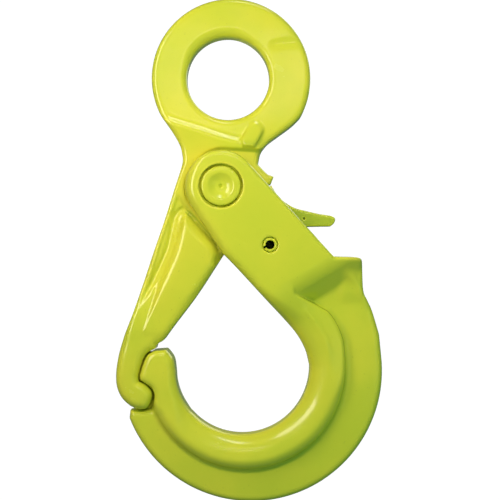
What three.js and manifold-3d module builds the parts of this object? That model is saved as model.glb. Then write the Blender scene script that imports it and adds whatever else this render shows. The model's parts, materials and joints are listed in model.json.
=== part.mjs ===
// Self-locking eye hook for lifting chain: an eye forging that carries the latch arm, a hook forging that
// swings on a load pin between the two, and a sprung trigger that locks them together.
// Millimetres. +Z runs up the load line, the front face looks along -Y, the origin is the eye's centre.
// Outlines lie in the X-Z plane, and both forgings are symmetric about y = 0, their parting plane.

import * as THREE from 'three';
import { mergeVertices } from 'three/addons/utils/BufferGeometryUtils.js';
import Module from 'manifold-3d';

const wasm = await Module();
wasm.setup();

// Eye forging
const EYE_HOLE_RADIUS = 17.5;
const EYE_RADIUS = 33.7;
const EYE_CENTRE = [1.3, 0];
const EYE_THICKNESS = 14;
const NECK_THICKNESS = 17;
const STOP_THICKNESS = 21;
const TANG_THICKNESS = 13;
const TANG_RADIUS = 14.2;
const ARM_THICKNESS = 19;

// Hook forging
const EAR_SPAN = 31;
const SLOT_WIDTH = 14;
const EAR_RADIUS = 15;
const BOWL_RADIUS = 28.7;
const BOWL_CENTRE = [0.1, -122.5];
const BACK_RADIUS = 55.6;
const BACK_CENTRE = [3.9, -124.3];
const BEAD_RADIUS = 42.5;
const BEAD_CENTRE = [1.5, -123.5];
const BEAD_THICKNESS = 23;
const BEAD_FOOT_THICKNESS = 17;
const FLANGE_THICKNESS = 12;
const GUARD_THICKNESS = 17;

// Pins, trigger and spring
const LOAD_PIN = [-5.1, -45.7];
const LOAD_PIN_RADIUS = 8.3;
const LOAD_PIN_LENGTH = 30.2;
const TRIGGER_PIN = [14.3, -71.3];
const TRIGGER_PIN_RADIUS = 3;
const TRIGGER_PIN_BORE = 1.9;
const TRIGGER_PIN_LENGTH = 30.4;
const TRIGGER_PIN_SLIT = 0.9;
const TRIGGER_PIN_SLIT_ANGLE = 202;
const TRIGGER_HUB_RADIUS = 6.5;
const TRIGGER_THICKNESS = 13;
const SPRING_POCKET_WIDTH = 6.4;
const SPRING_POCKET_RADIUS = 5.4;
const WIRE_RADIUS = 0.6;
const COIL_RADIUS = 4.1;
const COIL_PITCH = 1.35;
const COIL_TURNS = 2;

const PLAY = 0.3;
const CHAMFER = 0.7;
const SHANK_ANGLE = -50.8;
const SPOTFACE_RADIUS = 17.4;
const OPEN_ANGLE = 44;
const PIN_SIDES = 40;

const radians = THREE.MathUtils.degToRad;

// The point at a distance and an angle from a centre, in the X-Z plane.
function polar([x, z], radius, degrees) {
  return [x + radius * Math.cos(radians(degrees)), z + radius * Math.sin(radians(degrees))];
}

function corners(...points) {
  return points.map(([x, z]) => new THREE.Vector2(x, z));
}

function arc(centre, radius, from, to, steps) {
  const angles = Array.from({ length: steps + 1 }, (_, i) => from + ((to - from) * i) / steps);
  return corners(...angles.map((angle) => polar(centre, radius, angle)));
}

function curve(steps, ...points) {
  return new THREE.SplineCurve(corners(...points)).getPoints(steps);
}

function outline(...stretches) {
  return new THREE.Shape(stretches.flat());
}

// A closed geometry as a solid: shared vertices are merged and the slivers at a lathe's poles dropped.
function solid(geometry) {
  geometry.deleteAttribute('normal');
  geometry.deleteAttribute('uv');
  const merged = mergeVertices(geometry, 1e-4);
  const index = merged.index.array;
  const triangles = [];
  for (let i = 0; i < index.length; i += 3) {
    const [a, b, c] = [index[i], index[i + 1], index[i + 2]];
    if (a !== b && b !== c && c !== a) {
      triangles.push(a, b, c);
    }
  }
  const mesh = new wasm.Mesh({
    numProp: 3,
    vertProperties: new Float32Array(merged.attributes.position.array),
    triVerts: new Uint32Array(triangles),
  });
  return new wasm.Manifold(mesh);
}

// An outline given thickness along Y, centred on the parting plane, with its edges rounded off.
function slab(shape, thickness, bevel = 0, bevelSegments = 2) {
  const geometry = new THREE.ExtrudeGeometry(shape, {
    depth: thickness - 2 * bevel,
    steps: 1,
    curveSegments: 1,
    bevelEnabled: bevel > 0,
    bevelThickness: bevel,
    bevelSize: bevel,
    bevelOffset: -bevel,
    bevelSegments,
  });
  geometry.translate(0, 0, bevel - thickness / 2);
  geometry.rotateX(Math.PI / 2);
  return solid(geometry);
}

// A body turned about an axis along Y: the profile is (radius, y) pairs from the far end to the near end.
function turned([x, z], profile) {
  const geometry = new THREE.LatheGeometry(corners(...profile), PIN_SIDES);
  geometry.translate(x, 0, z);
  return solid(geometry);
}

// A bore from face to face, with both mouths chamfered.
function bore(centre, radius, span) {
  const face = span / 2;
  const past = face + 1;
  return turned(centre, [
    [0, -past],
    [radius + CHAMFER + 1, -past],
    [radius, -face + CHAMFER],
    [radius, face - CHAMFER],
    [radius + CHAMFER + 1, past],
    [0, past],
  ]);
}

// --- Eye forging ---

const neckLeft = [[-25, -21], [-21.8, -27], [-21, -31], [-21, -35.5]];
const neckRight = [[11, -37], [12.2, -32.4], [15, -28.7], [20, -25.3], [26, -21.3]];
const armLeft = [[-25, -46], [-30, -59.5], [-35, -72], [-40, -85], [-45, -97.6], [-48.4, -105.2]];
const armRight = [[-27, -102.8], [-20, -94.5], [-15, -88], [-10, -81]];
const CROTCH = [-5.3, -74.5];

function eyeRing() {
  const shape = outline(
    arc(EYE_CENTRE, EYE_RADIUS, -32, 206, 34),
    curve(8, ...neckLeft),
    corners([-12, -40], [4, -40]),
    curve(8, ...neckRight),
  );
  shape.holes.push(new THREE.Path(arc([0, 0], EYE_HOLE_RADIUS, 0, 351, 39)));
  return slab(shape, EYE_THICKNESS, 2.4);
}

function neckPad() {
  const shape = outline(
    corners([-28.2, -16.2], [-24, -15.6], [0, -24], [4, -25.4], [9, -27], [13, -29.6]),
    corners([10.6, -36], [-12, -40]),
    curve(8, ...neckLeft.slice().reverse()),
  );
  return slab(shape, NECK_THICKNESS, 1.6);
}

function stopLug() {
  const shape = outline(corners([3.6, -30.2], [4.2, -27], [9.6, -21], [14, -22.6], [11, -30.2]));
  return slab(shape, STOP_THICKNESS, 1.4);
}

// The flat plate between the ears: hub round the load pin, locking tooth, and the root of the latch arm.
function tang() {
  const shape = outline(
    corners([-18, -26], [-21, -31], [-21, -35.5]),
    curve(10, ...armLeft),
    curve(10, ...armRight, CROTCH),
    corners([0.5, -66]),
    arc(LOAD_PIN, TANG_RADIUS, -52, -12, 6),
    corners([16, -45.5], [17.3, -42.5], [15, -41.5], [13.5, -40], [11, -37], [12, -32.6], [6, -25]),
  );
  return slab(shape, TANG_THICKNESS, 0.5, 1);
}

function armAndNose() {
  const shape = outline(
    corners([-22.6, -56.6]),
    curve(6, [-28.6, -69], [-33.6, -81], [-39.6, -94.5], [-46, -103]),
    curve(14, [-49.8, -108.6], [-51.9, -115], [-53.3, -122], [-53.3, -128], [-51.4, -133], [-48, -136.6]),
    curve(10, [-45, -137.9], [-41.4, -138], [-39.4, -135.4], [-38.5, -131.6], [-40.4, -128.4], [-43.8, -126.4]),
    curve(8, [-44, -124.6], [-43, -121], [-41.4, -117], [-39.4, -114.4], [-36, -112.8]),
    corners([-35.6, -111.4], [-34.6, -110.6], [-32.4, -109.4]),
    curve(10, [-30.6, -107.2], [-24, -98.6], [-16.6, -89], [-11.4, -81.6]),
    corners([-9, -76.4], [-9.2, -72.6], [-12, -68.4]),
  );
  return slab(shape, ARM_THICKNESS, 2.2);
}

// What the ears sweep through on either side of the tang, from closed to fully open.
function earSweep() {
  const stopNormal = 90 + SHANK_ANGLE + OPEN_ANGLE;
  const edge = polar(LOAD_PIN, EAR_RADIUS + 0.5, stopNormal);
  const meets = THREE.MathUtils.radToDeg(Math.acos((EAR_RADIUS + 0.5) / SPOTFACE_RADIUS));
  const shape = outline(
    arc(LOAD_PIN, SPOTFACE_RADIUS, stopNormal + meets, stopNormal + 230, 32),
    corners([30, -66], polar(edge, 34, SHANK_ANGLE + OPEN_ANGLE)),
  );
  return slab(shape, EAR_SPAN + 2).subtract(slab(shape, TANG_THICKNESS));
}

function eyeForging() {
  return eyeRing()
    .add(neckPad())
    .add(stopLug())
    .subtract(earSweep())
    .add(tang())
    .add(armAndNose())
    .subtract(bore(LOAD_PIN, LOAD_PIN_RADIUS + PLAY, TANG_THICKNESS));
}

// --- Hook forging ---

const tipTop = [[-36.4, -113.6], [-34.6, -113.3], [-32, -113.3]];
const tipRight = [[-30.6, -114.8], [-28.7, -118], [-28.2, -122.5], [-27.9, -128], [-26.2, -134], [-22.8, -140]];
const tipLeft = [[-43.3, -123.8], [-41.4, -118.6], [-39.6, -115.4]];
const tipPocket = [[-39.4, -138.4], [-38.2, -136], [-37.5, -132.4], [-38.6, -129.2], [-41, -127.3], [-43, -125.8]];
const shankLeft = [[0, -80.5], [10, -92.5], [20, -104.5], [24.4, -110.6], [27.4, -117], [28.6, -122.6]];

function tipFromPocket() {
  return [
    curve(10, ...tipPocket),
    curve(4, ...tipLeft),
    corners(...tipTop),
    curve(10, ...tipRight),
  ].flat();
}

// The thin outer flange: the whole silhouette of the bowl, back and thumb guard.
function flange() {
  const shape = outline(
    arc(BACK_CENTRE, BACK_RADIUS, 4, -161.5, 30),
    corners([-48.2, -138.6], [-43, -139]),
    tipFromPocket(),
    arc(BOWL_CENTRE, BOWL_RADIUS, 219, 358, 20),
    curve(12, ...shankLeft.slice().reverse()),
    corners([20, -72], [40.7, -77.4], [52.8, -78.4], [53.2, -93]),
    curve(4, [54.4, -96.4], [56.2, -101.2], [58.9, -111.6]),
  );
  return slab(shape, FLANGE_THICKNESS, 1.6);
}

// The thick inner bead that carries the load, drawn in from the bowl's edge by an inset.
function bead(inset, thickness) {
  const [x, z] = BOWL_CENTRE;
  const shape = outline(
    curve(8, [22, -90], [33.2, -97.6], [39.6, -105], [43, -113.4], [43.8, -121]),
    arc(BEAD_CENTRE, BEAD_RADIUS, -2, -156, 22),
    tipFromPocket(),
    arc([x, z], BOWL_RADIUS + inset, 219, 358, 20),
    curve(6, [27.4 + inset, -117], [24.4 + inset, -110.6], [20 + inset, -104.5], [10 + inset, -92.5]),
  );
  return slab(shape, thickness, 2.4);
}

function ears() {
  const shape = outline(
    corners([26.6, -96.4], [34, -92.8], [41.6, -86.2], [41.9, -79.8]),
    arc(LOAD_PIN, EAR_RADIUS, 90 + SHANK_ANGLE, 211, 24),
    corners(CROTCH, [10, -92.3], [14.6, -97.6]),
  );
  return slab(shape, EAR_SPAN, 2.2);
}

function guardRib() {
  const shape = outline(
    corners([40.7, -77.6], [47, -78], [51.4, -86], [53, -93.4], [55, -99], [52, -99], [46.6, -90], [40, -83]),
  );
  return slab(shape, GUARD_THICKNESS, 1.6);
}

// The slot between the ears, with the deeper pocket at the back for the trigger's thumb lever.
function slot() {
  const along = (distance, side) => {
    const foot = polar(LOAD_PIN, distance, SHANK_ANGLE);
    return polar(foot, side, SHANK_ANGLE + 90);
  };
  const shape = outline(
    corners(along(-30, -40), along(41.5, -40), along(41.5, 1.9), along(48.5, 1.9)),
    corners(along(54, 15.5), along(54, 40), along(-30, 40)),
  );
  return slab(shape, SLOT_WIDTH);
}

function hookForging() {
  return flange()
    .add(bead(0, BEAD_FOOT_THICKNESS))
    .add(bead(3.6, BEAD_THICKNESS))
    .add(guardRib())
    .add(ears())
    .subtract(slot())
    .subtract(bore(LOAD_PIN, LOAD_PIN_RADIUS + PLAY, EAR_SPAN))
    .subtract(bore(TRIGGER_PIN, TRIGGER_PIN_RADIUS + PLAY, EAR_SPAN));
}

// --- Pins, trigger and spring ---

// Headless pin with peened, dished ends and a centre mark in each.
function loadPin() {
  const end = LOAD_PIN_LENGTH / 2;
  const half = [
    [LOAD_PIN_RADIUS, end - 0.6],
    [LOAD_PIN_RADIUS - 0.6, end],
    [6.1, end],
    [5.2, end - 1],
    [0.8, end - 1.2],
    [0, end - 1.9],
  ];
  const mirrored = half.map(([radius, y]) => [radius, -y]).reverse();
  return turned(LOAD_PIN, [...mirrored, ...half]);
}

// Rolled spring pin: a tube with chamfered ends and a slit along it.
function triggerPin() {
  const end = TRIGGER_PIN_LENGTH / 2;
  const tube = turned(TRIGGER_PIN, [
    [TRIGGER_PIN_BORE, -end],
    [TRIGGER_PIN_RADIUS - 0.4, -end],
    [TRIGGER_PIN_RADIUS, -end + 0.6],
    [TRIGGER_PIN_RADIUS, end - 0.6],
    [TRIGGER_PIN_RADIUS - 0.4, end],
    [TRIGGER_PIN_BORE, end],
    [TRIGGER_PIN_BORE, -end],
  ]);
  const [x, z] = polar(TRIGGER_PIN, TRIGGER_PIN_RADIUS - 0.5, TRIGGER_PIN_SLIT_ANGLE);
  const slit = new THREE.BoxGeometry(3, TRIGGER_PIN_LENGTH + 2, TRIGGER_PIN_SLIT);
  slit.rotateY(-radians(TRIGGER_PIN_SLIT_ANGLE));
  slit.translate(x, 0, z);
  return tube.subtract(solid(slit));
}

// Hub on the trigger pin, locking nose up under the tooth, thumb lever out of the back of the slot.
function triggerBody() {
  const web = outline(
    corners([16, -45.95], [15.2, -47.3], [14.1, -49], [12.9, -51], [11.2, -54.5], [9.6, -58], [8.6, -62]),
    arc(TRIGGER_PIN, TRIGGER_HUB_RADIUS, 180, 352, 20),
    corners([26.7, -69.2], [30.3, -64.4], [40.4, -64.7]),
    curve(5, [41.9, -63.5], [42.6, -62], [42, -60.9], [40.2, -60.1]),
    corners([35.6, -59.2], [30, -57.6], [24.8, -55.8], [19.9, -52]),
  );
  const pocket = outline(
    arc(TRIGGER_PIN, SPRING_POCKET_RADIUS, 24, 214, 24),
    corners([16, -84], [30, -74], polar(polar(TRIGGER_PIN, 3.2, -65.1), 11, 24.9)),
  );
  return slab(web, TRIGGER_THICKNESS, 0.8, 1)
    .subtract(slab(pocket, SPRING_POCKET_WIDTH))
    .subtract(bore(TRIGGER_PIN, TRIGGER_PIN_RADIUS + PLAY, TRIGGER_THICKNESS));
}

// Centre line of the torsion spring: a straight leg along the slot's floor step, the coil round the
// trigger pin, and a straight leg under the thumb lever.
class SpringLine extends THREE.Curve {
  constructor() {
    super();
    this.start = 90 + SHANK_ANGLE;
    this.sweep = 360 * COIL_TURNS + 255.7;
    this.floorLeg = 11;
    this.leverLeg = 10.5;
    this.coil = Math.hypot(radians(this.sweep) * COIL_RADIUS, (COIL_PITCH * this.sweep) / 360);
  }

  getPoint(t, target = new THREE.Vector3()) {
    const distance = t * (this.floorLeg + this.coil + this.leverLeg) - this.floorLeg;
    const turn = THREE.MathUtils.clamp(distance / this.coil, 0, 1);
    const angle = this.start + turn * this.sweep;
    const past = distance - turn * this.coil;
    const [x, z] = polar(polar(TRIGGER_PIN, COIL_RADIUS, angle), past, angle + 90);
    const y = ((turn - 0.5) * COIL_PITCH * this.sweep) / 360;
    return target.set(x, y, z);
  }
}

function triggerSpring() {
  const section = new THREE.Shape(arc([0, 0], WIRE_RADIUS, 0, 300, 5));
  const geometry = new THREE.ExtrudeGeometry(section, {
    extrudePath: new SpringLine(),
    steps: 70,
    bevelEnabled: false,
  });
  return solid(geometry);
}

// --- Assembly ---

const PAINT = { color: 0xd6db3a, roughness: 0.32, metalness: 0.1 };
const STEEL = { color: 0x8c8f92, roughness: 0.4, metalness: 1 };

function sheetOf(body) {
  const { numProp, vertProperties, triVerts } = body.getMesh();
  const geometry = new THREE.BufferGeometry();
  geometry.setAttribute('position', new THREE.BufferAttribute(vertProperties, numProp));
  geometry.setIndex(new THREE.BufferAttribute(triVerts, 1));
  return geometry;
}

function piece(name, body, finish) {
  const mesh = new THREE.Mesh(sheetOf(body), new THREE.MeshStandardMaterial(finish));
  mesh.name = name;
  return mesh;
}

const group = new THREE.Group();
group.add(piece('eye_and_latch', eyeForging(), PAINT));
group.add(piece('hook_body', hookForging(), PAINT));
group.add(piece('load_pin', loadPin(), PAINT));
group.add(piece('trigger', triggerBody(), PAINT));
group.add(piece('trigger_pin', triggerPin(), PAINT));
group.add(piece('trigger_spring', triggerSpring(), STEEL));

export default group;
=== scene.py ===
import json
import math

import bpy
import numpy as np
from mathutils import Matrix, Vector


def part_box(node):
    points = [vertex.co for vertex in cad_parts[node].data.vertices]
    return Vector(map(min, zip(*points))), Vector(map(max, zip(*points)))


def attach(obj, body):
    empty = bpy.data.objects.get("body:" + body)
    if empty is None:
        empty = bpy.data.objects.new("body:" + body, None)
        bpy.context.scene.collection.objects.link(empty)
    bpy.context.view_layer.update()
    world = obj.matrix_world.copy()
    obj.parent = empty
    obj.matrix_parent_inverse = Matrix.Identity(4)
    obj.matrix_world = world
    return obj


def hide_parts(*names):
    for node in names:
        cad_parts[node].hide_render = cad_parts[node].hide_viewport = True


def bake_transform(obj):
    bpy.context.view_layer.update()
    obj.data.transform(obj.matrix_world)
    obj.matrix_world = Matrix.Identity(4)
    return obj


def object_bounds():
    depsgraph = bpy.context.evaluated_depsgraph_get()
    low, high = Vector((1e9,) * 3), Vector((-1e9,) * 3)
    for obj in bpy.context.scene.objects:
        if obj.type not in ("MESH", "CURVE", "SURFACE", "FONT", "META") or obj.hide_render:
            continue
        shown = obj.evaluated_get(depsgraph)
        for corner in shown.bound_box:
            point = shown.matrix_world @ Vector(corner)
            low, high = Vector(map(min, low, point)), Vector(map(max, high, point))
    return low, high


# Looks of a self-locking eye hook. Shapes are worked out in millimetres in the row frame: outlines lie in
# the X-Z plane, both forgings are symmetric about y = 0, and each is one signed distance field that is
# turned into a smooth mesh.

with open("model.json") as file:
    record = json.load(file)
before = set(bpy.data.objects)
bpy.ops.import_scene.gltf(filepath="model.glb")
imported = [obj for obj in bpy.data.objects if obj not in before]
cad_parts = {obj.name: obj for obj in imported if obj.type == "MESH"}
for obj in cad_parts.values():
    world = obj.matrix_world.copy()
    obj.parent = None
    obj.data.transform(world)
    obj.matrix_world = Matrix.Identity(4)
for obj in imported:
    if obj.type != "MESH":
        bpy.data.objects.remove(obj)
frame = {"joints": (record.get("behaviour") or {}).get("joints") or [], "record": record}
CAD_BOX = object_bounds()
MM = 0.001


def box_mm(node):
    low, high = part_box(node)
    return np.array(low) / MM, np.array(high) / MM


def joint_axis_mm(name):
    """Where a joint's axis crosses the X-Z plane."""
    found = next(joint for joint in frame["joints"] if joint["name"] == name)
    return np.array([found["pos_m"][0], found["pos_m"][2]]) / MM


LOAD_PIN = joint_axis_mm("hook_swing")
TRIGGER_PIN = joint_axis_mm("trigger_press")
EYE = np.array(frame["record"]["mounts"][0]["pos_m"])[[0, 2]] / MM
EYE_LOW, EYE_HIGH = box_mm("eye_and_latch")
HOOK_LOW, HOOK_HIGH = box_mm("hook_body")
TRIGGER_LOW, TRIGGER_HIGH = box_mm("trigger")
PIN_END = box_mm("load_pin")[1][1]
SPRING_PIN_END = box_mm("trigger_pin")[1][1]

# Half thicknesses of the forgings, and the radii, heights and gaps of what is in them
EAR_HALF = HOOK_HIGH[1]
BEAD_HALF = 11.5
TIP_HALF = 10.5
FLANGE_HALF = 6.0
GUARD_HALF = 7.2
RING_HALF = 7.0
TANG_HALF = 6.5
NECK_HALF = 9.4
ARM_RIM_HALF = 7.2
ARM_HALF = 9.5
SLOT_HALF = 7.0
EYE_HOLE = 17.5
EAR_BOTTOM = -106.0
LOAD_PIN_RADIUS = 8.3
LOAD_PIN_GROOVE = 9.2
LOAD_BORE = 8.65
TRIGGER_PIN_RADIUS = 2.98
TRIGGER_PIN_GROOVE = 3.35
TRIGGER_BORE = 3.3
TONGUE = 1.7
TONGUE_GAP = 0.45
SHANK_ANGLE = -50.8
BOWL_CENTRE = np.array([0.1, -122.5])
BACK_CENTRE = np.array([3.9, -124.3])
BEAD_CENTRE = np.array([1.5, -123.5])
CROTCH = (-5.3, -74.5)

# Which way the rolled pin's slit faces, and the spacing of each forging's grid
SLIT_ANGLE = 202
EYE_GRID = 0.62
HOOK_GRID = 0.72
TRIGGER_GRID = 0.36


# --- Outlines -------------------------------------------------------------------------------------------

def polar(centre, radius, degrees):
    angle = math.radians(degrees)
    return (centre[0] + radius * math.cos(angle), centre[1] + radius * math.sin(angle))


def arc(centre, radius, start, end, steps=24):
    return [polar(centre, radius, start + (end - start) * i / steps) for i in range(steps + 1)]


def curve(*points, steps=5):
    """A smooth line through the points, as a Catmull-Rom spline."""
    p = np.array([points[0], *points, points[-1]], float)
    made = [tuple(p[1])]
    for a, b, c, d in zip(p, p[1:], p[2:], p[3:]):
        for i in range(1, steps + 1):
            t = i / steps
            made.append(tuple(0.5 * (
                2 * b + (c - a) * t + (2 * a - 5 * b + 4 * c - d) * t**2 + (3 * b - a - 3 * c + d) * t**3
            )))
    return made


def along_shank(distance, side):
    """The point at a distance down the shank from the load pin and at a side distance from its middle."""
    return polar(polar(LOAD_PIN, distance, SHANK_ANGLE), side, SHANK_ANGLE + 90)


def hook_outline():
    pocket = curve((-39.4, -138.4), (-38.2, -136), (-37.5, -132.4), (-38.6, -129.2), (-41, -127.3),
                   (-43, -125.8))
    tip_left = curve((-43.3, -123.8), (-41.4, -118.6), (-39.6, -115.4), (-36.6, -113.7))
    tip_right = curve((-31.6, -113.5), (-30.2, -115.2), (-28.7, -118), (-28.2, -122.5), (-27.9, -128),
                      (-26.2, -134), (-22.8, -140))
    shank = curve((28.6, -122.6), (27.4, -117), (24.4, -110.6), (20, -104.5), (10, -92.5), (0, -80.5), CROTCH)
    guard = curve((40.7, -77.5), (46, -77.9), (50.6, -78.3), (52.5, -79.3), (52.9, -82), (52.9, -92.4),
                  (54.4, -96.6), (56.4, -101.6), (58.9, -111.6))
    return [
        *arc(BACK_CENTRE, 55.6, 4, -161.5, 60), (-48.3, -138.7), (-47, -138.4), (-43, -139),
        *pocket, *tip_left, *tip_right,
        *arc(BOWL_CENTRE, 28.7, 220, 358, 48),
        *shank,
        *arc(LOAD_PIN, 15, 211, 90 + SHANK_ANGLE, 40),
        *guard,
    ]


def bead_outline():
    """The thick inner bead's outer edge. Elsewhere this line runs outside the metal or under the ears."""
    return [
        (-10, -60), (26, -80), (25, -91.8),
        *curve((32.6, -97), (37.6, -101), (41.2, -107), (43.2, -113.4), (43.9, -121)),
        *arc(BEAD_CENTRE, 42.4, -2, -155, 50),
        (-39.4, -138.2), (-44, -135.6), (-60, -130), (-60, -104), (-10, -104),
    ]


def bead_ridges():
    """The two arrises along the bead's flat top, below the ears."""
    inner = curve((26.6, -97.2), (29.8, -101.6), (33.4, -107.3), (36.4, -114.2), (37.6, -124))
    outer = curve((34.4, -98.6), (37.4, -100.8), (40.9, -106.6), (42.8, -112.8), (43.2, -124))
    return inner, outer


def slot_outline():
    return [along_shank(*at) for at in (
        (-30, -40), (41.5, -40), (41.5, 1.9), (48.5, 1.9), (54, 15.5), (54, 40), (-30, 40),
    )]


def eye_outline():
    left = curve((-28.9, -14.9), (-25, -21), (-21.9, -27), (-21, -31), (-21.2, -35.6), (-25, -46),
                 (-30, -59.5), (-35, -72), (-40, -85), (-45, -97.6), (-48.4, -105.2), (-49.9, -109),
                 (-51.9, -115), (-53.3, -122), (-53.3, -128), (-51.4, -133), (-48, -136.6))
    nose = curve((-48, -136.6), (-45, -137.9), (-41.4, -138), (-39.4, -135.4), (-38.5, -131.6),
                 (-40.4, -128.4), (-43.8, -126.4))
    catch = curve((-44, -124.6), (-43, -121), (-41.4, -117), (-39.4, -114.4), (-36, -112.8))
    right = curve((-35.6, -111.4), (-34.6, -110.6), (-32.4, -109.4), (-30.6, -107.2), (-27, -102.8),
                  (-20, -94.5), (-15, -88), (-10, -81), CROTCH)
    tooth = [(16, -45.5), (17.3, -42.6), (17, -42.3), (15, -41.5), (13.5, -40)]
    neck = curve((11, -37), (12.2, -32.4), (15, -28.7), (20, -25.3), (26, -21.3), (29.8, -17.9))
    return [
        *arc((1.3, 0), 33.7, -32, 206, 90), *left, *nose, *catch, *right, (0.5, -66),
        *arc(LOAD_PIN, 14.2, -52, -12, 12), *tooth, *neck,
    ]


def neck_outline():
    """The raised neck, whose upper edge crosses the foot of the ring at a slant."""
    return [(-34, -13.2), (-27, -14.6), (-12, -20), (0, -24.4), (4, -25.6), (9, -27), (16, -30),
            (16, -40), (-12, -44), (-34, -40)]


def ear_sweep_outline():
    """What the ears pass through from closed to fully open."""
    stop = 90 + SHANK_ANGLE + 44
    edge = polar(LOAD_PIN, 15.5, stop)
    return [*arc(LOAD_PIN, 15.3, stop, stop + 230, 40), (30, -66), polar(edge, 34, SHANK_ANGLE + 44)]


def panel_outline():
    """The top of the raised panel along the latch arm. On the right it runs outside the metal."""
    left = curve((-21.9, -59), (-25.5, -71.6), (-30.4, -81.9), (-34.2, -88.4), (-39, -96), (-47, -108))
    corner = curve((-9.4, -77), (-9.9, -73.6), (-10.6, -71.2), (-12.2, -69))
    return [*left, (-20, -108), (-4, -84), *corner, *curve((-14.7, -66.1), (-20.1, -59.2), (-21.2, -58.3))]


def recess_outline():
    """The arm's hollow that holds the panel. Its top is a sharp peak beside the ears."""
    left = curve((-23.3, -48.4), (-26.4, -55), (-29.3, -61.8), (-33.2, -72), (-37.4, -84))
    return [*left, (-30, -100), (-4, -84), (-9.4, -72), (-15.5, -62), (-20.3, -54.4)]


def trigger_outline():
    return [
        (16, -45.95), (15.2, -47.3), (14.1, -49), (12.9, -51), (11.2, -54.5), (9.6, -58), (8.6, -62),
        *arc(TRIGGER_PIN, 6.5, 180, 352, 30),
        (26.7, -69.2), (30.3, -64.4), (40.2, -64.7),
        *curve((40.4, -64.7), (41.9, -63.5), (42.5, -62), (42, -60.9), (40.2, -60.1)),
        *curve((35.6, -59.2), (30, -57.6), (24.8, -55.8), (19.9, -52), (17.2, -48.2)),
    ]


def spring_pocket_outline():
    lever = polar(polar(TRIGGER_PIN, 3.2, -65.1), 11, 24.9)
    return [*arc(TRIGGER_PIN, 5.4, 24, 214, 24), (16, -84), (30, -74), lever]


# --- Distance fields ------------------------------------------------------------------------------------

def signed_distance(outline, x, z):
    """Distance from the points to a closed outline, negative inside it."""
    a = np.array(outline, np.float32)
    e = np.roll(a, -1, axis=0) - a
    keep = (e**2).sum(1) > 1e-8
    a, e = a[keep], e[keep]
    length2 = (e**2).sum(1)
    x, z = np.broadcast_arrays(np.asarray(x, np.float32), np.asarray(z, np.float32))
    found = np.empty(x.size, np.float32)
    flat_x, flat_z = x.ravel(), z.ravel()
    rise = np.where(e[:, 1] == 0, 1, e[:, 1])
    block = 4096
    for start in range(0, x.size, block):
        dx = flat_x[start:start + block, None] - a[:, 0]
        dz = flat_z[start:start + block, None] - a[:, 1]
        t = np.clip((dx * e[:, 0] + dz * e[:, 1]) / length2, 0, 1)
        near = ((dx - t * e[:, 0])**2 + (dz - t * e[:, 1])**2).min(1)
        spans = (dz >= 0) != (dz >= e[:, 1])
        crossings = (spans & (dx < dz * e[:, 0] / rise)).sum(1)
        found[start:start + block] = np.sqrt(near) * np.where(crossings % 2, -1, 1)
    return found.reshape(x.shape)


def path_distance(points, x, z):
    """Distance to an open line, and how far along it the nearest point is, from 0 to 1."""
    nearest = np.full(np.broadcast(x, z).shape, np.inf, np.float32)
    share = np.zeros_like(nearest)
    a = np.array(points, float)
    lengths = np.hypot(*(a[1:] - a[:-1]).T)
    for i, length in enumerate(lengths):
        ex, ez = (a[i + 1] - a[i]) / length
        t = np.clip((x - a[i][0]) * ex + (z - a[i][1]) * ez, 0, length)
        d = np.hypot(x - a[i][0] - t * ex, z - a[i][1] - t * ez)
        share = np.where(d < nearest, (lengths[:i].sum() + t) / lengths.sum(), share)
        nearest = np.minimum(d, nearest)
    return nearest, share


def rounded(a, b, radius):
    """Where a and b both are, with a round edge between their surfaces."""
    in_corner = np.hypot(np.maximum(a + radius, 0), np.maximum(b + radius, 0))
    return np.minimum(np.maximum(a, b), -radius) + in_corner


def joined(a, b, radius):
    """Where a or b is, with a fillet in the corner between them."""
    return -rounded(-a, -b, radius)


def step(start, end, value):
    """0 before start, 1 after end, and smooth between them. start may be above end."""
    t = np.clip((value - start) / (end - start), 0, 1)
    return t * t * (3 - 2 * t)


def mix(a, b, share):
    return a + (b - a) * share


def swell(x, z, wavelength, seed):
    """A gentle unevenness from -1 to 1, as hammer dies leave it."""
    total = 0.0
    for i in range(3):
        turn = 1.1 + seed + 2.1 * i
        along = x * math.cos(turn) + z * math.sin(turn)
        total = total + np.sin(along * 2 * math.pi / wavelength + 3.7 * i + seed)
    return total / 3


def shank_place(x, z):
    """How far down the shank from the load pin the points are, and how far across it."""
    angle = math.radians(SHANK_ANGLE)
    along = (x - LOAD_PIN[0]) * math.cos(angle) + (z - LOAD_PIN[1]) * math.sin(angle)
    across = (z - LOAD_PIN[1]) * math.cos(angle) - (x - LOAD_PIN[0]) * math.sin(angle)
    return along, across


def off_axis(axis, x, z):
    return np.hypot(x - axis[0], z - axis[1])


def catch_share(x, z):
    """1 where the hook's tip lies against the latch's nose, which its tongue enters."""
    return step(-33, -34.4, x) * step(-46.5, -45, x) * step(-141, -139.6, z) * step(-114, -115.5, z)


def tip_share(x, z):
    return step(-20, -36, x) * step(-150, -134, z)


def flange_face(x, z, side, uneven):
    """The thin flange, a little thicker at the thumb guard, with the guard's rib on it."""
    guard = step(41, 45, x) * step(-99, -92, z)
    flange = side - mix(FLANGE_HALF, GUARD_HALF, guard) - uneven
    crest = curve((38.6, -78.2), (44, -81.4), (48, -85.8), (51, -91), (53.4, -98))
    off_crest, share = path_distance(crest, x, z)
    rib_half = mix(14.5, 6.0, share**0.7) - 0.9 * (np.hypot(off_crest, 1.6) - 1.6)
    return joined(flange, (side - rib_half) * 0.74, 1.0)


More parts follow.
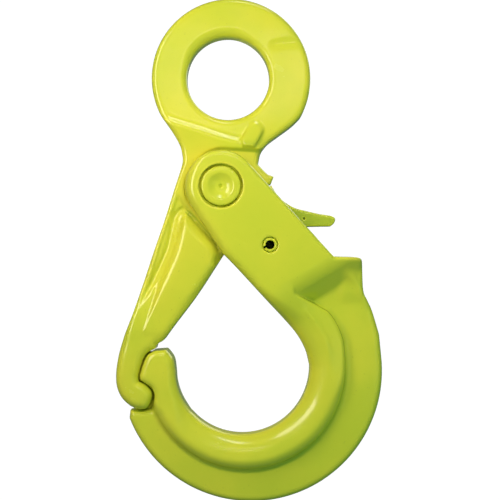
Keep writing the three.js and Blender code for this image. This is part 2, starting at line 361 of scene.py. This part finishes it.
def bead_face(x, z, side, uneven):
    """The bead round the bowl, which rises to the ears' height up the shank."""
    along, _ = shank_place(x, z)
    rise = (1 - step(47, 66, along)) * step(-112, -108, z)
    from_bowl = off_axis(BOWL_CENTRE, x, z)
    lean = 0.2 * np.clip(from_bowl - 36.5, 0, 8) * step(20, 30, x) * step(-134, -118, z)
    half = mix(mix(BEAD_HALF, TIP_HALF, tip_share(x, z)), EAR_HALF, rise) - lean * (1 - rise)
    edge = signed_distance(bead_outline(), x, z) + 0.14 * (side - FLANGE_HALF)
    return rounded(edge, side - half - uneven, mix(1.2, 4.4, step(-120, -142, z)))


def ear_face(x, z, side):
    """The flat ears, which end in a ramp down to the flange."""
    past = (x - 24.4) * 0.469 - (z + 89.2) * 0.883
    ramp = (side - EAR_HALF + 0.96 * past) * 0.72
    return np.maximum(rounded(side - EAR_HALF, ramp, 3.2), EAR_BOTTOM - z)


def hook_edge_radius(x, z, bowl):
    """How round the hook's edges are, where bowl is 1 along the broad slope into the bowl."""
    along, across = shank_place(x, z)
    ear_radius = mix(mix(4.6, 4.4, step(8, 34, along)), 1.9, step(-7, 7, across))
    radius = mix(mix(ear_radius, 2.8, step(-93, -117, z)), 8.6, bowl)
    return mix(radius, 4.4, tip_share(x, z) * step(36, 30, off_axis(BOWL_CENTRE, x, z)))


def hook_field(x, y, z):
    side = np.abs(y)
    edge = signed_distance(hook_outline(), x, z) - TONGUE * catch_share(x, z) * step(2.2, 1.5, side)
    uneven = 0.07 * swell(x, z, 19, 0.4)
    thick = np.minimum(bead_face(x, z, side, uneven), ear_face(x, z, side))
    top = joined(flange_face(x, z, side, uneven), thick, mix(0.8, 1.7, step(-98, -124, z)))
    for ridge in bead_ridges():
        off_ridge, share = path_distance(ridge, x, z)
        top = top - 0.5 * np.exp(-(off_ridge / 1.25)**2) * step(0, 0.15, share) * step(1, 0.6, share)

    bowl = step(46, 38, off_axis(BOWL_CENTRE, x, z)) * step(-88, -106, z) * (1 - tip_share(x, z))
    arris = 0.55 * bowl * step(0, 20, x) * step(-146, -126, z)
    solid = rounded(edge * mix(1, 0.66, bowl), top - arris, hook_edge_radius(x, z, bowl))
    solid = rounded(solid, top, 0.4)

    slot = np.maximum(signed_distance(slot_outline(), x, z), side - SLOT_HALF)
    solid = rounded(solid, -slot, 0.6)
    # Both pins sit tight in the ears, with a ring-shaped groove round their ends.
    load_hole = mix(LOAD_PIN_RADIUS, LOAD_PIN_GROOVE, step(12.2, 12.6, side))
    trigger_hole = mix(TRIGGER_PIN_RADIUS - 0.01, TRIGGER_PIN_GROOVE, step(14.0, 14.6, side))
    solid = rounded(solid, load_hole - off_axis(LOAD_PIN, x, z), 0.35)
    return rounded(solid, trigger_hole - off_axis(TRIGGER_PIN, x, z), 0.3)


def ring_face(x, z, side, uneven):
    """The ring with its shallow dent, and the neck, which rises over a slanted step and carries a lug."""
    neck_edge = signed_distance(neck_outline(), x, z)
    below = np.clip(-(z + 24.4) * 0.94 - x * 0.34, 0, 30)
    neck_half = NECK_HALF - 0.22 * below - 0.4 * step(-6, 6, x)
    neck_step = (side - RING_HALF + 0.66 * (neck_edge - 0.6)) * 0.83
    neck = rounded(side - neck_half - uneven, neck_step, 0.6)
    dent = 0.5 * np.exp(-((z - 12.4 - 0.05 * x) / 1.7)**2) * step(17, 21, x) * step(34, 29, x)
    off_lug, _ = path_distance([(10.4, -22.6), (9.2, -24.6), (7.6, -27.2)], x, z)
    lug_half = 8.1 + 0.3 * np.clip(-21 - z, 0, 8)
    lug = rounded(off_lug - 3.3, side - lug_half, 1.6)
    return joined(joined(side - RING_HALF - uneven + dent, neck, 0.6), lug, 1.2)


def arm_faces(x, z, side, uneven):
    """The latch arm's low base, and the raised panel on it with a groove round its foot."""
    _, across = shank_place(x, z)
    panel_edge = signed_distance(panel_outline(), x, z)
    right = step(-2, 1.5, 0.924 * (x + 21.6) - 0.382 * (z + 58.2))
    groove = 1.5 * np.exp(-((panel_edge - mix(3.6, 2.3, right)) / 1.15)**2)
    groove = groove * step(-49, -54, z) * step(-102, -84, z)
    low_arm = step(-84, -106, z)
    rim_half = mix(ARM_RIM_HALF, TANG_HALF, step(-21, -17, across) * step(-48, -56, z))
    recess = 0.8 * step(0.5, -0.8, signed_distance(recess_outline(), x, z)) * step(-94, -80, z)
    base_half = mix(rim_half - recess, ARM_HALF, low_arm) - groove * (1 - low_arm)
    wall = mix(0.85, 2.0, right)
    slope = (side - ARM_HALF + wall * panel_edge) / np.hypot(1, wall)
    panel = rounded(side - ARM_HALF - uneven, slope, mix(8.5, 2.6, right))
    return side - base_half - uneven, np.maximum(panel, z + 50)


def eye_edge_radius(x, z):
    """How round the edges of the ring, the neck and the latch arm are."""
    inner_radius = mix(2.9, 4.6, step(4, 16, z - EYE[1]) * step(14, 2, x - EYE[0]))
    radius = mix(2.4, inner_radius, step(26, 20, off_axis(EYE, x, z)))
    radius = mix(radius, 1.3, step(-32, -40, z))
    right_flank = step(14, 8, 0.6 * (z + 81) - 0.8 * (x + 10))
    radius = mix(radius, mix(1.7, 4.2, right_flank), step(-66, -78, z))
    return mix(radius, 3.6, step(-98, -112, z))


def eye_field(x, y, z):
    side = np.abs(y)
    edge = np.maximum(signed_distance(eye_outline(), x, z), EYE_HOLE - off_axis(EYE, x, z))
    uneven = 0.06 * swell(x, z, 17, 1.9)
    arm_base, panel = arm_faces(x, z, side, uneven)
    top = mix(ring_face(x, z, side, uneven), side - ARM_RIM_HALF - uneven, step(-36, -44, z))
    top = joined(np.where(z < -44, arm_base, top), panel, 0.9)

    # Where the ears pass, everything is sunk to the tang.
    swept = signed_distance(ear_sweep_outline(), x, z)
    top = np.maximum(top, (side - mix(TANG_HALF, NECK_HALF + 3, step(-0.2, 4.6, swept))) * 0.6)
    solid = rounded(edge, top, eye_edge_radius(x, z))

    # The load pin's bore, and the groove in the nose that the hook's tongue enters.
    bore = off_axis(LOAD_PIN, x, z) - LOAD_BORE
    catch = np.maximum(signed_distance(hook_outline(), x, z) - TONGUE - TONGUE_GAP, side - 2.7)
    catch = np.maximum(catch, 0.5 - catch_share(x - 1.5, z - 0.5))
    return rounded(rounded(solid, -bore, 0.5), -catch, 0.3)


def trigger_field(x, y, z):
    side = np.abs(y)
    body = rounded(signed_distance(trigger_outline(), x, z), side - TRIGGER_HIGH[1], 0.9)
    pocket = np.maximum(signed_distance(spring_pocket_outline(), x, z), side - 3.2)
    body = rounded(body, -pocket, 0.4)
    bore = off_axis(TRIGGER_PIN, x, z) - TRIGGER_BORE
    punch = np.hypot(x - 29.3, z + 60.9) - 0.2 - 0.55 * (side - TRIGGER_HIGH[1] + 0.9)
    return rounded(rounded(body, -bore, 0.4), -punch * 0.85, 0.1)


# --- Meshing --------------------------------------------------------------------------------------------

def grid_lines(low, high, spacing, fine=()):
    """Grid lines that cover low to high, twice as close inside the fine ranges."""
    lines = [low - 2 * spacing]
    while lines[-1] < high + 2 * spacing:
        close = any(start < lines[-1] < end for start, end in fine)
        lines.append(lines[-1] + (spacing / 2 if close else spacing))
    return np.array(lines)


def surface_nets(values):
    """Vertices in grid steps and quads of the surface where the values change sign."""
    inside = values < 0
    shape = np.array(values.shape) - 1
    around = sum(
        inside[i:shape[0] + i, j:shape[1] + j, k:shape[2] + k].astype(np.int8)
        for i in (0, 1) for j in (0, 1) for k in (0, 1)
    )
    active = (around > 0) & (around < 8)
    index = np.full(active.shape, -1, np.int64)
    cells = np.argwhere(active)
    index[active] = np.arange(len(cells))
    total, hits = np.zeros((len(cells), 3)), np.zeros((len(cells), 1))
    quads = []
    for axis in range(3):
        unit = np.eye(3, dtype=int)[axis]
        others = [k for k in range(3) if k != axis]
        for u in (0, 1):
            for v in (0, 1):
                corner = cells.copy()
                corner[:, others[0]] += u
                corner[:, others[1]] += v
                a = values[tuple(corner.T)]
                b = values[tuple((corner + unit).T)]
                cross = (a < 0) != (b < 0)
                share = np.where(cross, a / np.where(cross, a - b, 1), 0)
                total += np.where(cross[:, None], corner + share[:, None] * unit, 0)
                hits += cross[:, None]
        lower = np.take(inside, range(shape[axis]), axis)
        upper = np.take(inside, range(1, shape[axis] + 1), axis)
        edges = np.argwhere(lower != upper)
        inner = np.all((edges[:, others] > 0) & (edges[:, others] < shape[others]), axis=1)
        edges = edges[inner]
        leaves = lower[tuple(edges.T)]
        ring = []
        for u, v in ((1, 1), (0, 1), (0, 0), (1, 0)):
            cell = edges.copy()
            cell[:, others[0]] -= u
            cell[:, others[1]] -= v
            ring.append(index[tuple(cell.T)])
        ring = np.stack(ring, axis=1)
        flip = leaves if axis == 1 else ~leaves
        ring[flip] = ring[flip][:, ::-1]
        quads.append(ring)
    return total / hits, np.concatenate(quads)


def sampled(values, places):
    """Values at places given in grid steps, linear between the grid's nodes."""
    top = np.array(values.shape[:3]) - 2
    base = np.clip(places.astype(int), 0, top)
    share = np.clip(places - base, 0, 1)
    total = 0
    for i in (0, 1):
        for j in (0, 1):
            for k in (0, 1):
                weight = np.prod(np.where([i, j, k], share, 1 - share), axis=1)
                at = values[base[:, 0] + i, base[:, 1] + j, base[:, 2] + k]
                total = total + at * (weight if at.ndim == 1 else weight[:, None])
    return total


def forging(name, field, low, high, spacing, fine_x=(), fine_z=()):
    """A mesh of a field that is symmetric about y = 0, with how hollow and how sharp each point is."""
    xs = grid_lines(low[0], high[0], spacing, fine_x)
    zs = grid_lines(low[2], high[2], spacing, fine_z)
    half = np.arange(spacing / 2, high[1] + 2.5 * spacing, spacing)
    ys = np.concatenate([-half[::-1], half])
    x, z = xs[:, None, None], zs[None, None, :]
    behind = field(x, half[None, :, None], z).astype(np.float32)
    values = np.concatenate([behind[:, ::-1], behind], axis=1)
    places, quads = surface_nets(values)
    gradient = np.stack(np.gradient(values, xs, ys, zs), axis=-1)
    normal = sampled(gradient, places)
    normal /= np.linalg.norm(normal, axis=1, keepdims=True)
    axes = list(enumerate((xs, ys, zs)))
    steps = [np.arange(len(lines)) for _, lines in axes]
    points = np.stack([np.interp(places[:, k], steps[k], lines) for k, lines in axes], axis=1)
    for _ in range(3):
        miss = field(points[:, 0], points[:, 1], points[:, 2])
        points -= normal * np.clip(miss, -spacing / 2, spacing / 2)[:, None]

    def field_at(offset):
        moved = points + offset * normal
        grid = [np.interp(moved[:, k], lines, steps[k]) for k, lines in axes]
        return sampled(values, np.stack(grid, axis=1))

    # How hollow and how sharp each point is; the enamel turns these into painted shade and a painted
    # highlight.
    hollow = np.mean([np.clip(1 - field_at(reach) / reach, 0, 1) for reach in (1.0, 2.0, 4.0)], axis=0)
    sharp = np.mean([np.clip(1 + field_at(-reach) / reach, 0, 1) for reach in (0.8, 1.6)], axis=0)
    made = mesh_object(name, points, quads.tolist())
    for key, value in (("hollow", hollow), ("sharp", sharp)):
        attribute = made.data.attributes.new(key, "FLOAT", "POINT")
        attribute.data.foreach_set("value", value.astype(np.float32))
    return made


def mesh_object(name, points, faces):
    """A smooth-shaded mesh object from points in millimetres."""
    mesh = bpy.data.meshes.new(name)
    mesh.from_pydata((np.asarray(points) * MM).tolist(), [], faces)
    mesh.polygons.foreach_set("use_smooth", [True] * len(mesh.polygons))
    mesh.update()
    made = bpy.data.objects.new(name, mesh)
    bpy.context.scene.collection.objects.link(made)
    return made


def turned(name, centre, profile, sides=96):
    """A body turned about an axis along Y. The profile is (radius, y), from middle to middle of its ends."""
    points, rings, faces = [], [], []
    for radius, y in profile:
        count = 1 if radius == 0 else sides
        rings.append([len(points) + i % count for i in range(sides)])
        for i in range(count):
            x, z = polar(centre, radius, 360 * i / sides)
            points.append((x, y, z))
    for near, far in zip(rings, rings[1:]):
        for i in range(sides):
            j = (i + 1) % sides
            face = [near[i], near[j], far[j], far[i]]
            faces.append(list(dict.fromkeys(face)))
    return mesh_object(name, points, faces)


def load_pin():
    """Headless pin, peened over at both ends round a dish with a punch mark."""
    end, full = PIN_END, LOAD_PIN_RADIUS
    back_end = curve(
        (0, end - 2.7), (0.45, end - 2.25), (0.85, end - 1.75), (1.3, end - 1.65), (2.4, end - 1.55),
        (3.6, end - 1.1), (4.6, end - 0.55), (5.4, end - 0.12), (6.2, end), (7.3, end - 0.05),
        (7.9, end - 0.25), (full - 0.05, end - 0.7), (full, end - 1.5), (full, end - 2.5), steps=4,
    )
    front_end = [(radius, -y) for radius, y in reversed(back_end)]
    return turned("peened_load_pin", LOAD_PIN, back_end + front_end, sides=120)


def trigger_pin():
    """Rolled spring pin: a tube with a slit along it and chamfered ends."""
    end = SPRING_PIN_END
    outer = TRIGGER_PIN_RADIUS
    inner = 1.9
    half_slit = 0.45
    section = [
        (inner, -end + 0.2), (inner + 0.15, -end + 0.03), (inner + 0.35, -end), (outer - 0.5, -end),
        (outer - 0.28, -end + 0.1), (outer, -end + 0.7), (outer, end - 0.7), (outer - 0.28, end - 0.1),
        (outer - 0.5, end), (inner + 0.35, end), (inner + 0.15, end - 0.03), (inner, end - 0.2),
    ]
    turns = 72
    points, faces = [], []
    for i in range(turns + 1):
        for radius, y in section:
            gap = math.degrees(math.asin(half_slit / radius))
            x, z = polar(TRIGGER_PIN, radius, SLIT_ANGLE + gap + (360 - 2 * gap) * i / turns)
            points.append((x, y, z))
    n = len(section)
    for i in range(turns):
        for j in range(n):
            k = (j + 1) % n
            faces.append([i * n + j, i * n + k, (i + 1) * n + k, (i + 1) * n + j])
    faces.append(list(range(n))[::-1])
    faces.append([turns * n + j for j in range(n)])
    return mesh_object("rolled_trigger_pin", points, faces)


def bore_plug():
    """A near-black stopper that closes the rolled pin's bore and slit half way down; its colour is painted
    shade for the dark inside of the pin.
    """
    radius = 1.87
    depth = 6.5
    half_tab = 0.42
    gap = math.degrees(math.asin(half_tab / radius))
    rim = arc(TRIGGER_PIN, radius, SLIT_ANGLE + gap, SLIT_ANGLE + 360 - gap, 40)
    tab_end = polar(TRIGGER_PIN, 2.9, SLIT_ANGLE)
    rim += [polar(tab_end, half_tab, SLIT_ANGLE - 90), polar(tab_end, half_tab, SLIT_ANGLE + 90)]
    count = len(rim)
    points = [(x, y, z) for y in (-depth, depth) for x, z in rim]
    points += [(TRIGGER_PIN[0], -depth + 0.5, TRIGGER_PIN[1]), (TRIGGER_PIN[0], depth - 0.5, TRIGGER_PIN[1])]
    faces = []
    for i in range(count):
        j = (i + 1) % count
        faces += [[i, count + i, count + j, j], [i, j, 2 * count], [count + j, count + i, 2 * count + 1]]
    return mesh_object("trigger_pin_bore_shade_plug", points, faces)


def spring_line():
    """The torsion spring's centre line: floor leg, coil round the trigger pin, lever leg."""
    radius = 4.1
    pitch = 1.35
    start = 90 + SHANK_ANGLE
    sweep = 975.7
    floor_leg = 11
    lever_leg = 10.5
    rise = pitch * sweep / 360
    made = []
    for i in range(6):
        foot = polar(TRIGGER_PIN, radius, start)
        x, z = polar(foot, -floor_leg * (1 - i / 6), start + 90)
        made.append((x, -rise / 2, z))
    for i in range(181):
        turn = i / 180
        x, z = polar(TRIGGER_PIN, radius, start + turn * sweep)
        made.append((x, (turn - 0.5) * rise, z))
    for i in range(1, 7):
        foot = polar(TRIGGER_PIN, radius, start + sweep)
        x, z = polar(foot, lever_leg * i / 6, start + sweep + 90)
        made.append((x, rise / 2, z))
    return np.array(made)


def torsion_spring():
    """Round wire along the spring's centre line, with slightly narrowed cut ends."""
    line = spring_line()
    wire = 0.6
    sides = 14
    heading = np.gradient(line, axis=0)
    heading /= np.linalg.norm(heading, axis=1, keepdims=True)
    up = np.cross(heading, (0, 1, 0))
    up /= np.linalg.norm(up, axis=1, keepdims=True)
    out = np.cross(heading, up)
    rings = [(line[0] - heading[0] * 0.12, 0.7, 0)] + [(p, 1, i) for i, p in enumerate(line)]
    rings.append((line[-1] + heading[-1] * 0.12, 0.7, len(line) - 1))
    points = []
    for middle, size, i in rings:
        for k in range(sides):
            turn = 2 * math.pi * k / sides
            points.append(middle + wire * size * (up[i] * math.cos(turn) + out[i] * math.sin(turn)))
    faces = []
    for i in range(len(rings) - 1):
        for k in range(sides):
            m = (k + 1) % sides
            faces.append([i * sides + k, i * sides + m, (i + 1) * sides + m, (i + 1) * sides + k])
    faces.append(list(range(sides))[::-1])
    faces.append([(len(rings) - 1) * sides + k for k in range(sides)])
    return mesh_object("torsion_spring", points, faces)


# --- Materials ------------------------------------------------------------------------------------------

class Shader:
    """A material with a Principled shader and short calls for its nodes."""

    def __init__(self, name):
        self.material = bpy.data.materials.new(name)
        self.material.use_nodes = True
        self.tree = self.material.node_tree
        self.surface = next(node for node in self.tree.nodes if node.type == "BSDF_PRINCIPLED")
        self.place = self.node("ShaderNodeTexCoord").outputs["Object"]

    def node(self, kind, **settings):
        made = self.tree.nodes.new(kind)
        for key, value in settings.items():
            setattr(made, key, value)
        return made

    def link(self, value, socket):
        if isinstance(value, bpy.types.NodeSocket):
            self.tree.links.new(value, socket)
        else:
            socket.default_value = value

    def noise(self, scale, detail=3, roughness=0.5, kind="ShaderNodeTexNoise"):
        """Noise with scale in features per metre."""
        made = self.node(kind)
        self.link(self.place, made.inputs["Vector"])
        made.inputs["Scale"].default_value = scale
        made.inputs["Detail"].default_value = detail
        made.inputs["Roughness"].default_value = roughness
        return made.outputs[0]

    def attribute(self, name):
        return self.node("ShaderNodeAttribute", attribute_name=name).outputs["Fac"]

    def ranged(self, value, low, high, to_low=0.0, to_high=1.0):
        made = self.node("ShaderNodeMapRange", interpolation_type="SMOOTHSTEP")
        self.link(value, made.inputs["Value"])
        for key, number in (("From Min", low), ("From Max", high), ("To Min", to_low), ("To Max", to_high)):
            made.inputs[key].default_value = number
        return made.outputs["Result"]

    def maths(self, operation, a, b):
        made = self.node("ShaderNodeMath", operation=operation)
        self.link(a, made.inputs[0])
        self.link(b, made.inputs[1])
        return made.outputs[0]

    def mixed(self, share, a, b):
        made = self.node("ShaderNodeMix", data_type="RGBA")
        self.link(share, made.inputs["Factor"])
        self.link(a, made.inputs["A"])
        self.link(b, made.inputs["B"])
        return made.outputs["Result"]

    def bump(self, height, distance, strength=1.0, under=None):
        made = self.node("ShaderNodeBump")
        made.inputs["Strength"].default_value = strength
        made.inputs["Distance"].default_value = distance
        self.link(height, made.inputs["Height"])
        if under is not None:
            self.link(under, made.inputs["Normal"])
        return made.outputs["Normal"]

    def set(self, **values):
        for key, value in values.items():
            self.link(value, self.surface.inputs[key.replace("_", " ")])


def enamel(name, hollow=True):
    """Lime-yellow baked enamel over a forging, with painted shade and painted highlight: greener and darker
    in hollows, where the paint also pools thicker, near-black in the deepest gaps, and warm yellow on sharp
    edges, where the paint is also thin.
    """
    paint = Shader(name)
    cloud = paint.noise(22, 4)
    colour = paint.mixed(paint.ranged(cloud, 0.35, 0.68), (0.60, 0.655, 0.040, 1), (0.72, 0.70, 0.048, 1))
    if hollow:
        # Painted shade: hollows turn darker and greener, partly also as thicker paint pooled there.
        hollow_shade = paint.ranged(paint.attribute("hollow"), 0.08, 0.55, 0, 0.75)
        colour = paint.mixed(hollow_shade, colour, (0.34, 0.45, 0.030, 1))
        # Painted shade: the deepest gaps and creases turn near-black.
        gap_shade = paint.ranged(paint.attribute("hollow"), 0.5, 0.8, 0, 0.9)
        colour = paint.mixed(gap_shade, colour, (0.05, 0.10, 0.03, 1))
        # Painted highlight: sharp edges turn warm yellow, partly also as thin paint there.
        edge_highlight = paint.ranged(paint.attribute("sharp"), 0.08, 0.5, 0, 0.8)
        colour = paint.mixed(edge_highlight, colour, (0.86, 0.78, 0.060, 1))
    specks = paint.ranged(paint.noise(900, 2), 0.70, 0.76, 0, 0.35)
    colour = paint.mixed(specks, colour, (0.40, 0.45, 0.04, 1))
    peel = paint.noise(420, 2, 0.4)
    waves = paint.noise(95, 2, 0.5)
    normal = paint.bump(peel, 0.00002, 0.6, paint.bump(waves, 0.00018, 0.5))
    haze = paint.ranged(paint.noise(60, 4, 0.6), 0.3, 0.75, 0.18, 0.28)
    paint.set(Base_Color=colour, Roughness=haze, Normal=normal)
    paint.set(IOR=1.52, Coat_Weight=0.45, Coat_Roughness=0.09)
    return paint.material


def painted_bore_shade(name):
    """Near-black painted shade for the dark deep inside the rolled pin, mottled a little in tone and
    roughness.
    """
    dark = Shader(name)
    shade_mottle = dark.noise(1500, 3)
    # Painted shade: this near-black colour stands for the shade deep in the bore.
    colour = dark.mixed(dark.ranged(shade_mottle, 0.35, 0.7), (0.006, 0.008, 0.005, 1), (0.03, 0.035, 0.025, 1))
    dark.set(Base_Color=colour, Roughness=dark.ranged(shade_mottle, 0.3, 0.7, 0.5, 0.8))
    dark.set(Normal=dark.bump(shade_mottle, 0.00004))
    return dark.material


def spring_steel(name):
    """Drawn spring wire with a satin, slightly oily skin."""
    steel = Shader(name)
    smut = steel.noise(700, 4, 0.6)
    colour = steel.mixed(steel.ranged(smut, 0.4, 0.7), (0.42, 0.43, 0.44, 1), (0.24, 0.23, 0.21, 1))
    steel.set(Base_Color=colour, Metallic=1.0, Roughness=steel.ranged(smut, 0.35, 0.7, 0.28, 0.5))
    steel.set(Normal=steel.bump(steel.noise(2600, 2), 0.00001))
    return steel.material


# --- Pieces ---------------------------------------------------------------------------------------------

# The hook's grid is twice as fine round its two pins.
load_fine = (LOAD_PIN[0] - 10, LOAD_PIN[0] + 10), (LOAD_PIN[1] - 10, LOAD_PIN[1] + 10)
trigger_fine = (TRIGGER_PIN[0] - 4, TRIGGER_PIN[0] + 4), (TRIGGER_PIN[1] - 4, TRIGGER_PIN[1] + 4)
eye = forging("eye_forging", eye_field, EYE_LOW, EYE_HIGH, EYE_GRID)
hook = forging(
    "hook_forging", hook_field, HOOK_LOW, HOOK_HIGH, HOOK_GRID,
    fine_x=(load_fine[0], trigger_fine[0]), fine_z=(load_fine[1], trigger_fine[1]),
)
trigger = forging("trigger_lever", trigger_field, TRIGGER_LOW, TRIGGER_HIGH, TRIGGER_GRID)
big_pin = load_pin()
small_pin = trigger_pin()
plug = bore_plug()
spring = torsion_spring()

forged_paint = enamel("lime_enamel_on_forgings")
pin_paint = enamel("lime_enamel_on_pins", hollow=False)
for piece, body, node, slot, material in (
    (eye, "eye", "eye_and_latch", "lime_paint", forged_paint),
    (hook, "hook", "hook_body", "lime_paint", forged_paint),
    (trigger, "trigger", "trigger", "lime_paint", forged_paint),
    (big_pin, "hook", "load_pin", "lime_paint", pin_paint),
    (small_pin, "hook", "trigger_pin", "lime_paint", pin_paint),
):
    piece.data.materials.append(material)
    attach(piece, body)
    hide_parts(node)
# The bore's stopper is coloured with painted shade.
plug.data.materials.append(painted_bore_shade("painted_bore_shade"))
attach(plug, "hook")
spring.data.materials.append(spring_steel("spring_wire"))
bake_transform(spring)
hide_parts("trigger_spring")


# --- Stage, light and camera ----------------------------------------------------------------------------

CENTRE = Vector((0.0058, 0, -0.0731))
CAMERA_DISTANCE = 0.6
FIELD_WIDTH = 0.2139
ROLL = math.radians(2.767)


def add_floor():
    """A pale round table below the hanging hook, out of the camera's level view."""
    radius, drop, sides = 0.55, 0.12, 96
    middle = (CAD_BOX[0] + CAD_BOX[1]) / 2
    z = CAD_BOX[0].z - drop
    rim = arc((middle.x, middle.y), radius, 0, 360, sides)[:-1]
    mesh = bpy.data.meshes.new("floor")
    mesh.from_pydata([(x, y, z) for x, y in rim], [], [list(range(sides))])
    floor = bpy.data.objects.new("floor", mesh)
    bpy.context.scene.collection.objects.link(floor)
    chalk = Shader("pale_floor")
    tone = chalk.ranged(chalk.noise(9, 3), 0.3, 0.7)
    chalk.set(Base_Color=chalk.mixed(tone, (0.86, 0.86, 0.85, 1), (0.9, 0.9, 0.89, 1)), Roughness=0.85)
    chalk.set(Emission_Color=(1, 1, 1, 1), Emission_Strength=0.85)
    floor.data.materials.append(chalk.material)
    floor.visible_diffuse = False
    floor.visible_glossy = False


def add_world():
    """Even pale surroundings: white behind the object, softer as a light."""
    world = bpy.data.worlds.new("studio")
    world.use_nodes = True
    nodes, links = world.node_tree.nodes, world.node_tree.links
    output = next(node for node in nodes if node.type == "OUTPUT_WORLD")
    white = nodes.new("ShaderNodeBackground")
    white.inputs["Color"].default_value = (1, 1, 1, 1)
    white.inputs["Strength"].default_value = 1.05
    soft = nodes.new("ShaderNodeBackground")
    soft.inputs["Color"].default_value = (0.68, 1, 0.80, 1)
    soft.inputs["Strength"].default_value = 0.17
    path = nodes.new("ShaderNodeLightPath")
    mixer = nodes.new("ShaderNodeMixShader")
    links.new(path.outputs["Is Camera Ray"], mixer.inputs["Fac"])
    links.new(soft.outputs[0], mixer.inputs[1])
    links.new(white.outputs[0], mixer.inputs[2])
    links.new(mixer.outputs[0], output.inputs["Surface"])
    bpy.context.scene.world = world


def add_area_light(name, place, target, size, energy, colour=(1, 1, 1), glossy=True):
    lamp = bpy.data.lights.new(name, "AREA")
    lamp.shape = "RECTANGLE"
    lamp.size, lamp.size_y = size
    lamp.energy = energy
    lamp.color = colour
    light = bpy.data.objects.new(name, lamp)
    light.location = place
    light.visible_glossy = glossy
    light.rotation_mode = "QUATERNION"
    light.rotation_quaternion = (Vector(target) - Vector(place)).to_track_quat("-Z", "Y")
    bpy.context.scene.collection.objects.link(light)


def add_camera():
    """Level with the object and turned a little on its own axis, so that the hook leans to the left."""
    data = bpy.data.cameras.new("camera")
    data.sensor_width = 36
    data.lens = 36 * CAMERA_DISTANCE / FIELD_WIDTH
    data.clip_start, data.clip_end = 0.01, 50
    camera = bpy.data.objects.new("camera", data)
    right = Vector((math.cos(ROLL), 0, -math.sin(ROLL)))
    up = Vector((math.sin(ROLL), 0, math.cos(ROLL)))
    back = Vector((0, -1, 0))
    turn = Matrix((right, up, back)).transposed().to_4x4()
    camera.matrix_world = Matrix.Translation(CENTRE + back * CAMERA_DISTANCE) @ turn
    bpy.context.scene.collection.objects.link(camera)
    bpy.context.scene.camera = camera


add_floor()
add_world()
add_area_light("key", (-0.17, -0.20, 0.03), (0, 0, -0.06), (0.08, 0.24), 0.38, (1, 0.87, 0.71))
add_area_light("top", (0.10, -0.20, 0.38), (-0.01, 0, -0.02), (0.24, 0.05), 0.33)
add_area_light("back_key", (0.20, 0.28, 0.12), (0, 0, -0.06), (0.30, 0.30), 0.4, (1, 0.97, 0.88))
# These three leave no reflections of their own in the paint.
for name, place, target, size, energy, colour in (
    ("front", (0.01, -0.25, 0.03), (0, 0, -0.07), (0.12, 0.04), 0.36, (1, 0.84, 0.77)),
    ("fill", (0.20, -0.34, -0.15), (0.02, 0, -0.09), (0.20, 0.12), 0.24, (0.25, 1, 0.6)),
    ("back_fill", (-0.20, 0.36, -0.06), (0, 0, -0.08), (0.20, 0.20), 1.3, (0.97, 1, 0.90)),
):
    add_area_light(name, place, target, size, energy, colour, glossy=False)
add_camera()
bpy.context.scene.view_settings.view_transform = "Standard"
